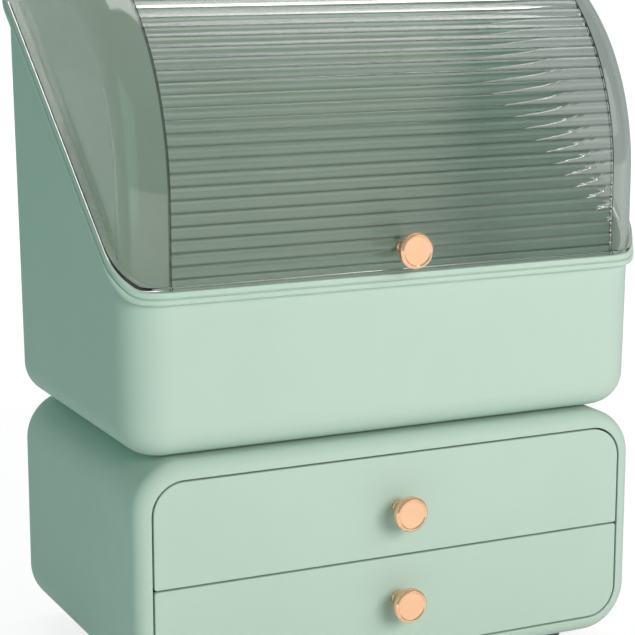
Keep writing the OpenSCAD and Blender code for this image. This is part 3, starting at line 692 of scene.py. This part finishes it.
def caseBody():
    # from under the middle, up the outside, over the bead, groove and band of the rim, and down the inside
    ring = ringPath(case["width"], case["depth"], case["corner"], 36, (6, 64, 6, 64))
    r = caseRim
    rim = easedProfile([
        (0.0, -1.6, 0), (0.0, 0.0, 0.5), (r["bead"], 0.0, 1.25), (r["bead"], r["beadTop"], 0.9),
        (r["groove"], r["beadTop"], 0.15), (r["groove"], r["grooveTop"], 0.15),
        (r["band"], r["grooveTop"], 0.3), (r["band"], case["rim"], 0.7),
        (-case["wall"], case["rim"], 0.7), (-case["wall"], case["rim"] - 2.4, 0)])
    turns = np.linspace(0, 90, 13)
    outerFloor = [floorRow(ring, 0.0, deg) for deg in turns]
    innerFloor = [floorRow(ring, -case["wall"], deg) for deg in turns[::-1]]
    rimRows = [rimRow(ring, grow, off) for grow, off in rim]
    share = np.linspace(0, 1, 9)[1:-1, None, None]
    outerWall = outerFloor[-1] * (1 - share) + rimRows[0] * share
    innerWall = rimRows[-1] * (1 - share) + innerFloor[0] * share
    points = np.concatenate([outerFloor, outerWall, rimRows, innerWall, innerFloor])
    return gridSurface(points, poleFirst=True, poleLast=True)


hinge = {"y": 180.884, "z": 340.2, "barrel": 4.0, "x": 85.0, "lidWidth": 16.0, "lugWidth": 6.0, "gap": 0.3,
         "bury": 1.5, "webLow": (173.3, -3.2), "webHigh": (167.8, 5.4), "webTurn": -53.13, "ease": 0.5}


def hingeLugs():
    # bracket seen from the side: up its back, over the barrel and down to the case's wall
    h = hinge
    over = arcPoints((h["y"], h["z"]), h["barrel"], 0, 180, 16)
    wallY = caseBackY - h["bury"]
    outline = np.concatenate([[(wallY, rimBackZ - 3 * h["barrel"]), (h["y"] + h["barrel"], rimBackZ)], over,
                              [(h["y"] - h["barrel"], rimBackZ + case["rim"] - 1),
                               (wallY, rimBackZ + case["rim"] - 1)]])
    lugs = []
    for side in (-1, 1):
        for end in (-1, 1):
            middle = side * h["x"] + end * (h["lidWidth"] / 2 + h["gap"] + h["lugWidth"] / 2)
            lugs.append(sideExtruded(outline, middle - h["lugWidth"] / 2, middle + h["lugWidth"] / 2))
    return joined(lugs)


addPiece("cosmetics_case_body", caseBody(), "case", "mint", ["cosmetics_case"], 38)
lugs = addPiece("case_hinge_lugs", hingeLugs(), "case", "mint")
easing = lugs.modifiers.new("eased_edges", "BEVEL")
easing.width, easing.segments = hinge["ease"] * mm, 3
easing.limit_method, easing.angle_limit = "ANGLE", math.radians(40)
print("case built")

# lid

lid = {"width": 270.6, "radius": 110.1, "endRadius": 19.0, "backRadius": 24.0, "wall": 2.5, "gap": 0.3,
       "faceY": -2.53, "topZ": 353.4, "backY": 175.884, "pitch": 5.9, "fluteDepth": 0.9, "fluteFrom": 209.1,
       "perFlute": 10, "knobZ": 216.0, "seat": 4.5, "flange": 2.0, "flangeOut": 2.5,
       "fluteEnd": 1.1, "fluteFade": 0.3, "seatFade": 1.4, "plainTop": 3.0, "below": 12.0, "seamFrom": 0.4,
       "seamHalf": 0.3, "seamDepth": 0.45, "legSlopeY": 60.0, "legDrop": 7.0, "rearIn": 7.0, "rearUp": 4.0,
       "legLeast": 2.0, "deeper": 2.0, "rowGap": 0.2, "flangeLift": 0.02}
lidAxisY, lidAxisZ = lid["faceY"] + lid["radius"], lid["topZ"] - lid["radius"]
lidBackAxis = (lid["backY"] - lid["backRadius"], lid["topZ"] - lid["backRadius"])
lidOff = case["rim"] + lid["gap"]
lidStraight, lidCurve = lidAxisZ - lid["fluteFrom"], lid["radius"] * np.pi / 2
lidTop = lidBackAxis[0] - lidAxisY
lastFlute = math.floor((lidStraight + lidCurve + lidTop - lid["plainTop"]) / lid["pitch"])

# seam, crease and ripple sizes are in metres; line is the colour of the painted shade drawn along the seam
# and in the flutes' creases
clearLook = {"colour": (0.885, 0.885, 0.88), "shade": (0.86, 0.865, 0.86), "roughness": 0.035, "spread": 0.03,
             "blotch": 14.0, "grain": 70.0, "rippleDepth": 0.00004, "index": 1.49,
             "shadow": (0.66, 0.655, 0.64, 1), "line": (0.10, 0.11, 0.11, 1), "seam": (0.00045, 0.0002),
             "crease": (0.0011, 0.0001), "creaseShade": 0.78, "slack": 0.0005}
seamX = (lid["width"] / 2 - lid["endRadius"] - lid["seamFrom"]) * mm


def paintedCreaseShade(tree, across, back, up):
    # painted shade in the crease between two flutes, and how dark it is: the way up the front, round the
    # curve and over the top is folded at the flutes' pitch, on the outer face and between the seams only
    ahead = combine(tree, "SUBTRACT", lidAxisY * mm + drawerFrontY, back)
    above = combine(tree, "SUBTRACT", up, lidAxisZ * mm)
    onlyAhead, onlyAbove = [combine(tree, "MAXIMUM", part, 0.0) for part in (ahead, above)]
    curved = combine(tree, "MULTIPLY", combine(tree, "ARCTAN2", onlyAbove, onlyAhead), lid["radius"] * mm)
    below, behind = combine(tree, "MINIMUM", above, 0.0), combine(tree, "SUBTRACT", onlyAhead, ahead)
    run = lidStraight * mm
    for part in (curved, below, behind):
        run = combine(tree, "ADD", part, run)
    squares = [combine(tree, "MULTIPLY", part, part) for part in (onlyAhead, onlyAbove)]
    fromAxis = combine(tree, "SQRT", combine(tree, "ADD", *squares))
    betweenFaces = (lid["radius"] - (lid["fluteDepth"] + lid["wall"]) / 2) * mm
    runEnd = lastFlute * lid["pitch"] * mm + clearLook["slack"]
    line = ramp(tree, combine(tree, "PINGPONG", run, lid["pitch"] * mm / 2), *clearLook["crease"])
    for operation, value, limit in (("GREATER_THAN", fromAxis, betweenFaces), ("LESS_THAN", across, seamX),
                                    ("GREATER_THAN", run, -clearLook["slack"]), ("LESS_THAN", run, runEnd)):
        line = combine(tree, "MULTIPLY", line, combine(tree, operation, value, limit))
    return combine(tree, "MULTIPLY", line, clearLook["creaseShade"])


def clearMaterial():
    # clear plastic: refracting body with faint ripples, painted shade as dark lines in the creases between
    # the flutes and along a seam at both ends of them; it lets lamp light through to what stands behind it
    look = clearLook
    material, tree, shader = newMaterial("clear_acrylic")
    grain = grainNode(tree, look)
    where = place(tree, "SeparateXYZ", [(0, place(tree, "TexCoord").outputs["Object"])]).outputs
    toMiddle = combine(tree, "ABSOLUTE", where["X"])
    toSeam = combine(tree, "ABSOLUTE", combine(tree, "SUBTRACT", toMiddle, seamX))
    # painted shade: a dark line along the seam groove at both ends of the flutes
    colour = blend(tree, ramp(tree, toSeam, *look["seam"]), grain["Colour"], look["line"])
    # painted shade: dark lines in the creases between the flutes
    colour = blend(tree, paintedCreaseShade(tree, toMiddle, where["Y"], where["Z"]), colour, look["line"])
    dressShader(tree, shader, colour, grain["Roughness"], grain["Height"], look["rippleDepth"])
    shader.inputs["Transmission Weight"].default_value = 1.0
    shader.inputs["IOR"].default_value = look["index"]
    shadow = place(tree, "BsdfTransparent", [("Color", look["shadow"])])
    mixSurface(tree, "Material Output", place(tree, "LightPath").outputs["Is Shadow Ray"], shader, shadow)
    return material


materials["clear"] = clearMaterial()


def smoothStep(value, low, high):
    t = np.clip((value - low) / (high - low), 0, 1)
    return t * t * (3 - 2 * t)


def lidRows():
    # the lid's side line in steps of a flute's tenth: up the front, round the curve, back along the top and
    # down the rear edge; gives the line's points, its inward directions and how far each row is along it
    step, rear = lid["pitch"] / lid["perFlute"], lid["backRadius"] * np.pi / 2
    rearStart = lidStraight + lidCurve + lidTop
    run = np.arange(-int(lid["below"] / step), int(rearStart / step) + 1) * step
    rearRun = rearStart + np.linspace(0, np.pi / 2, 22) * lid["backRadius"]
    run = np.concatenate([run[run < rearStart - lid["rowGap"]], rearRun])
    angle = np.clip((run - lidStraight) / lidCurve, 0, 1) * np.pi / 2
    turn = np.clip((run - rearStart) / rear, 0, 1) * np.pi / 2
    inward = np.stack([np.cos(angle + turn), -np.sin(angle + turn)], 1)
    y = np.where(run < lidStraight, lid["faceY"], lidAxisY - lid["radius"] * np.cos(angle))
    z = np.where(run < lidStraight, lid["fluteFrom"] + run, lidAxisZ + lid["radius"] * np.sin(angle))
    y = y + np.clip(run - lidStraight - lidCurve, 0, lidTop)
    y = np.where(turn > 0, lidBackAxis[0] + lid["backRadius"] * np.sin(turn), y)
    z = np.where(turn > 0, lidBackAxis[1] + lid["backRadius"] * np.cos(turn), z)
    return np.stack([y, z], 1), inward, run


def legEnds(line, inward, run):
    # where the straight legs end, below the rim: on a slanting line that follows the cut
    steep = math.tan(slopeAngle)
    base = cutHeight(np.array([lid["legSlopeY"]]), lidOff)[0] - lid["legSlopeY"] * steep - lid["legDrop"]
    down = ((run - lidStraight) / lidCurve)[:, None]
    angle = np.clip(down[:, 0], 0, 1) * np.pi / 2
    reach = ((lidAxisY * steep + base) - lidAxisZ) / (np.sin(angle) + np.cos(angle) * steep)
    onCurve = np.stack([lidAxisY - reach * np.cos(angle), lidAxisZ + reach * np.sin(angle)], 1)
    leastY = line[:, 0] + inward[:, 0] * lid["endRadius"] + lid["legLeast"]
    onFront = np.stack([np.maximum((line[:, 1] - base) / steep, leastY), line[:, 1]], 1)
    onTop = np.stack([line[:, 0], steep * line[:, 0] + base], 1)
    turn = np.clip((run - lidStraight - lidCurve - lidTop) / lid["backRadius"], 0, np.pi / 2)[:, None]
    backStart = np.array([lidBackAxis[0], steep * lidBackAxis[0] + base])
    onRear = backStart + np.sin(turn) * (lid["rearIn"], lid["rearUp"])
    onBack = np.where(turn <= 0, onTop, onRear)
    return np.where(down < 0, onFront, np.where(down <= 1, onCurve, onBack))


def lidShell():
    # the section (flat middle, rounded ends, straight legs) is carried along the side line; each flute's
    # outer face falls by a parabola to a crease on either side; the legs reach below the rim, where the body
    # is trimmed
    line, inward, run = lidRows()
    half, rounding = lid["width"] / 2, lid["endRadius"]
    # columns of the flat middle: close together round the knob's seat and at the flutes' ends
    byKnob = [0, 1.5, 3, 4, 4.7, 5.4, 6.2]
    byEnds = half - rounding - np.array([1.1, 0.95, 0.8, 0.7, 0.55, 0.4, 0.25, 0.1, 0])
    flatX = np.concatenate([byKnob, [40, 80], byEnds])
    ends = np.radians(np.linspace(0, 90, 15)[1:])
    rows, tiny = len(run), 1e-6
    share = run / lid["pitch"]
    fluted = (share > -tiny) & (share < lastFlute + tiny)
    valley = lid["fluteDepth"] * (2 * (share - np.floor(share + tiny)) - 1) ** 2 * fluted
    flutesEnd = half - rounding - lid["fluteEnd"]
    fadeX = 1 - smoothStep(flatX, flutesEnd, flutesEnd + lid["fluteFade"])
    # groove between the flutes and the rounded ends
    fromSeam = (flatX - (half - rounding - lid["seamFrom"])) / lid["seamHalf"]
    seam = lid["seamDepth"] * np.maximum(1 - fromSeam ** 2, 0)
    fromKnob = np.hypot(flatX[None], (line[:, 1] - lid["knobZ"])[:, None])
    roundSeat = smoothStep(fromKnob, lid["seat"], lid["seat"] + lid["seatFade"])
    fade = fadeX[None] * np.where((run < lidStraight)[:, None], roundSeat, 1)
    depth = valley[:, None] * fade + seam[None]
    target = legEnds(line, inward, run)

    def halfSection(inset, dents):
        radius = rounding - inset
        sunk = [inset + dents, inset + radius * (1 - np.cos(ends)) + np.zeros((rows, 1))]
        across = [flatX, half - rounding + radius * np.sin(ends)]
        flat, bent = [np.dstack([np.broadcast_to(x, deep.shape), line[:, :1] + inward[:, :1] * deep,
                                 line[:, 1:] + inward[:, 1:] * deep]) for x, deep in zip(across, sunk)]
        begin = bent[:, -1, 1:]
        part = np.array([0.5, 1.0])[None, :, None]
        leg = begin[:, None] * (1 - part) + target[:, None] * part
        legs = np.concatenate([np.full((rows, 2, 1), half - inset), leg], -1)
        return np.concatenate([flat, bent, legs], 1)

    outer = halfSection(0.0, depth)
    inner = halfSection(lid["wall"], np.zeros_like(depth))
    mirror = np.array([-1, 1, 1])
    return np.concatenate([outer[:, ::-1] * mirror, outer[:, 1:], inner[:, ::-1], inner[:, 1:] * mirror], 1)


def closedSleeve(section, outerCount):
    # closed section loops joined row to row, with the first and last wall sections closed strip by strip
    vertices, faces = gridSurface(section)
    rows, columns = section.shape[:2]
    for first in (0, (rows - 1) * columns):
        j = np.arange(outerCount - 1)
        strip = np.stack([first + j, first + j + 1, first + columns - 2 - j, first + columns - 1 - j], 1)
        faces += strip.tolist()
    return vertices, faces


block = {"front": -60.0, "back": 260.0, "low": 100.0, "half": 200.0}


def cutBlock():
    # everything under the lid's lower edge, as a side view carried across, with close points in both bends
    b = block
    y = np.concatenate([[b["front"]], np.linspace(slopeY - 8, slopeY + 8, 40),
                        np.linspace(slopeEndY - 14, slopeEndY + 10, 50), [b["back"]]])
    outline = np.column_stack([y, cutHeight(y, lidOff)])
    outline = np.concatenate([outline, [(b["back"], b["low"]), (b["front"], b["low"])]])
    return sideExtruded(outline, -b["half"], b["half"])


def lidFlange():
    # strip on the rim: the inner edge runs inside the lid's wall and the outer edge follows the rim's outline
    cornerSteps, sideSteps = 36, (2, 64, 6, 64)
    caseRing = ringPath(case["width"], case["depth"], case["corner"], cornerSteps, sideSteps)
    lidDepth = case["depth"] + lid["deeper"]
    lidRing = ringPath(lid["width"], lidDepth, lid["endRadius"], cornerSteps, sideSteps)
    start = cornerSteps + 2  # just past the middle of the rear side
    order = np.roll(np.arange(len(caseRing[0])), -start)
    caseRing = (caseRing[0][order], caseRing[1][order])
    insideFlat = (lidRing[0] - lidRing[1] * lid["wall"] / 2)[order] + (0, lid["faceY"] + lidDepth / 2)
    low, high = lidOff + lid["flangeLift"], lidOff + lid["flange"]
    edge = easedProfile([(0.0, low, 0), (lid["flangeOut"], low, 0.55), (lid["flangeOut"], high, 0.75),
                         (0.0, high, 0)])
    outerRows = [rimRow(caseRing, grow, off) for grow, off in edge[1:-1]]
    inside = [np.column_stack([insideFlat, cutHeight(insideFlat[:, 1], off)]) for off in (low, high)]
    rows = np.stack([inside[0]] + outerRows + [inside[1]])
    keep = np.flatnonzero(rows[1, :, 1] < lidBackAxis[0])
    rows = rows[:, keep[0]:keep[-1] + 1]
    return gridSurface(rows.transpose(1, 0, 2), poleFirst=True, poleLast=True)


def lidKnuckles():
    # web out of the rear wall that ends in the hinge barrel
    h = hinge
    over = arcPoints((h["y"], h["z"]), h["barrel"], h["webTurn"], 90, 14)
    roots = [[(y, h["z"] + up)] for y, up in (h["webLow"], h["webHigh"])]
    outline = np.concatenate([roots[0], over, roots[1]])
    half = h["lidWidth"] / 2
    return joined([sideExtruded(outline, side * h["x"] - half, side * h["x"] + half) for side in (-1, 1)])


def cutAndJoin(name, surface, operations):
    # one closed clear body: the block is taken away from the sleeve, then flange and barrels are joined to it
    piece = bpy.data.objects.new(name, toMesh(name, surface))
    bpy.context.scene.collection.objects.link(piece)
    tools = []
    for operation, toolSurface in operations:
        tool = bpy.data.objects.new("tool", toMesh("tool", toolSurface))
        bpy.context.scene.collection.objects.link(tool)
        modifier = piece.modifiers.new(operation, "BOOLEAN")
        modifier.operation, modifier.solver, modifier.object = operation, "MANIFOLD", tool
        tools.append(tool)
    graph = bpy.context.evaluated_depsgraph_get()
    result = bpy.data.meshes.new_from_object(piece.evaluated_get(graph))
    piece.modifiers.clear()
    piece.data = result
    for tool in tools:
        bpy.data.objects.remove(tool)
    print(name, "has", len(result.polygons), "faces")
    return piece


lidSection = lidShell()
lidBody = cutAndJoin("lid_shell_body", closedSleeve(lidSection, lidSection.shape[1] // 2),
                     [("DIFFERENCE", cutBlock()), ("UNION", lidFlange()), ("UNION", lidKnuckles())])
finishPiece(lidBody, "lid", "clear", ["lid_shell"], 30)
addPiece("lid_knob_metal", knob(lid["faceY"], lid["knobZ"]), "lid", "roseGold", ["lid_knob"], 50)
print("lid built")

# nodes that keep their own solids

nodeFinishes = {
    "mint": ["middle_shelf"],
    "paleMint": ["lower_runner_left", "lower_runner_right", "upper_runner_left", "upper_runner_right"],
    "zincSteel": ["lower_drawer_knob_screw", "upper_drawer_knob_screw", "lid_knob_screw", "hinge_pin_left",
                  "hinge_pin_right"],
    "softSilicone": ["case_pads"],
}
for finish, names in nodeFinishes.items():
    for name in names:
        data = nodes[name].data
        data.materials.clear()
        data.materials.append(materials[finish])
print("node finishes set")
